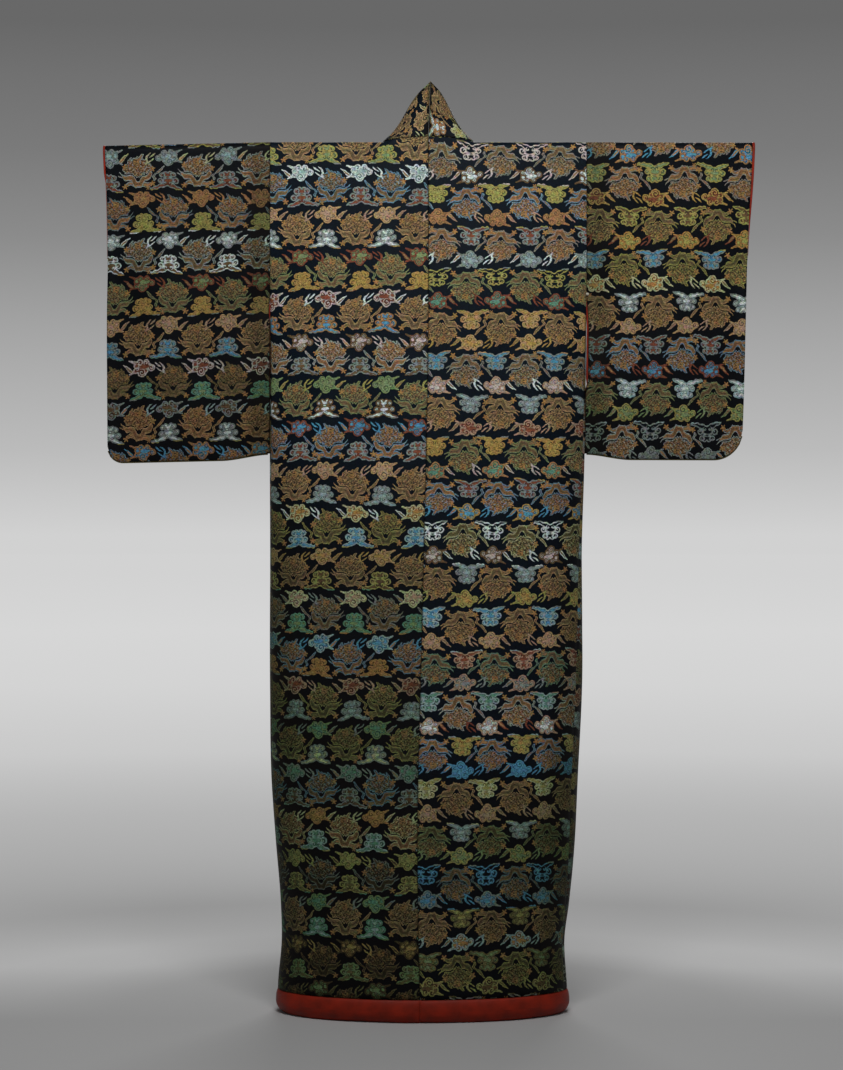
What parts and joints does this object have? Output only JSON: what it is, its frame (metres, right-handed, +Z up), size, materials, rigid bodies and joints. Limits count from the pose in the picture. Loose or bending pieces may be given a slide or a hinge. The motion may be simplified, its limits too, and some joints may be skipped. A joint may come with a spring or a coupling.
{
  "type": "kosode",
  "caption": "Padded brocade kosode robe, filled out as if worn, sleeves straight out, fronts closed left over right, red padded hem.",
  "frame": {"origin": "top of the centre back seam on the shoulder line, where the wearer's neck and shoulders carry the robe", "axes": "+Z up; the robe's back faces -Y and its front +Y; +X towards the wearer's right sleeve"},
  "size_m": [1.2375, 0.2971, 1.7616],
  "materials": {
    "body_left": "silk brocade, dragons and clouds on navy",
    "body_right": "silk brocade, dragons and clouds on navy",
    "overlap_left": "silk brocade, dragons and clouds on navy",
    "overlap_right": "silk brocade, dragons and clouds on navy",
    "sleeve_left": "silk brocade, dragons and clouds on navy",
    "sleeve_right": "silk brocade, dragons and clouds on navy",
    "collar": "silk brocade, dragons and clouds on navy",
    "hem_roll": "plain red silk, padded",
    "red_lining": "plain red silk"
  },
  "bodies": {
    "root": {"body_left": "body_left", "body_right": "body_right", "overlap_left": "overlap_left", "overlap_right": "overlap_right", "sleeve_left": "sleeve_left", "sleeve_right": "sleeve_right", "collar_left": "collar", "collar_right": "collar", "hem_roll_left": "hem_roll", "hem_roll_right": "hem_roll", "wrist_edge_left": "red_lining", "wrist_edge_right": "red_lining", "sleeve_slit_edge_left": "red_lining", "sleeve_slit_edge_right": "red_lining"}
  },
  "joints": []
}
